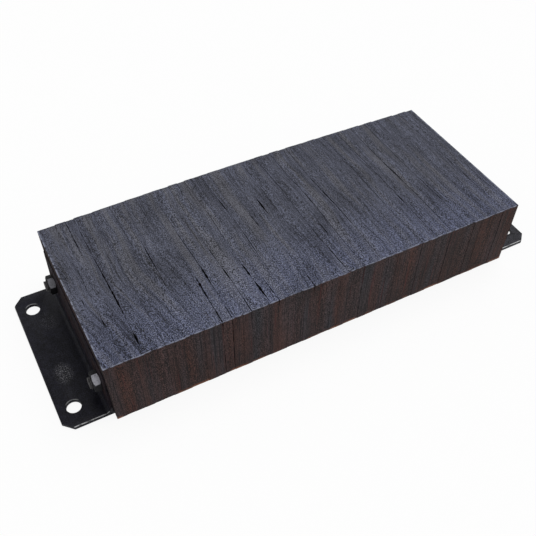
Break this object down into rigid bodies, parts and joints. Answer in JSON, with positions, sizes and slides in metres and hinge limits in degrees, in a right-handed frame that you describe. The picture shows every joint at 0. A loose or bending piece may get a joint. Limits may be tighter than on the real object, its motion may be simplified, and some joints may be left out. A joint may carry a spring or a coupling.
{
  "type": "dock bumper",
  "caption": "Laminated rubber dock bumper: pads strung on tie rods and clamped between steel end angles, whose outstanding legs have holes for wall anchors.",
  "frame": {"origin": "middle of the rectangle of anchor holes, on the wall plane that the back of the bumper lies on", "axes": "+X along the stack of pads from the nut end to the weld end, +Y along the height of the pads, +Z out from the wall to the bumping face"},
  "size_m": [0.724, 0.2604, 0.104],
  "materials": {
    "pad_rubber": "sawn, matt, with cord ends showing",
    "angle_paint": "black satin paint, scuffed",
    "rod_steel": "dull bare steel",
    "nut_zinc": "dull zinc plate",
    "weld_metal": "weld bead under black paint"
  },
  "bodies": {
    "root": {"pad_01": "pad_rubber", "pad_02": "pad_rubber", "pad_03": "pad_rubber", "pad_04": "pad_rubber", "pad_05": "pad_rubber", "pad_06": "pad_rubber", "pad_07": "pad_rubber", "pad_08": "pad_rubber", "pad_09": "pad_rubber", "pad_10": "pad_rubber", "pad_11": "pad_rubber", "pad_12": "pad_rubber", "pad_13": "pad_rubber", "pad_14": "pad_rubber", "pad_15": "pad_rubber", "pad_16": "pad_rubber", "pad_17": "pad_rubber", "pad_18": "pad_rubber", "pad_19": "pad_rubber", "pad_20": "pad_rubber", "pad_21": "pad_rubber", "pad_22": "pad_rubber", "pad_23": "pad_rubber", "pad_24": "pad_rubber", "pad_25": "pad_rubber", "pad_26": "pad_rubber", "pad_27": "pad_rubber", "pad_28": "pad_rubber", "pad_29": "pad_rubber", "pad_30": "pad_rubber", "pad_31": "pad_rubber", "pad_32": "pad_rubber", "pad_33": "pad_rubber", "pad_34": "pad_rubber", "pad_35": "pad_rubber", "pad_36": "pad_rubber", "pad_37": "pad_rubber", "pad_38": "pad_rubber", "pad_39": "pad_rubber", "pad_40": "pad_rubber", "pad_41": "pad_rubber", "pad_42": "pad_rubber", "pad_43": "pad_rubber", "pad_44": "pad_rubber", "pad_45": "pad_rubber", "pad_46": "pad_rubber", "pad_47": "pad_rubber", "pad_48": "pad_rubber", "nut_end_angle": "angle_paint", "weld_end_angle": "angle_paint", "near_tie_rod": "rod_steel", "far_tie_rod": "rod_steel", "near_nut": "nut_zinc", "far_nut": "nut_zinc", "near_weld": "weld_metal", "far_weld": "weld_metal"}
  },
  "joints": []
}
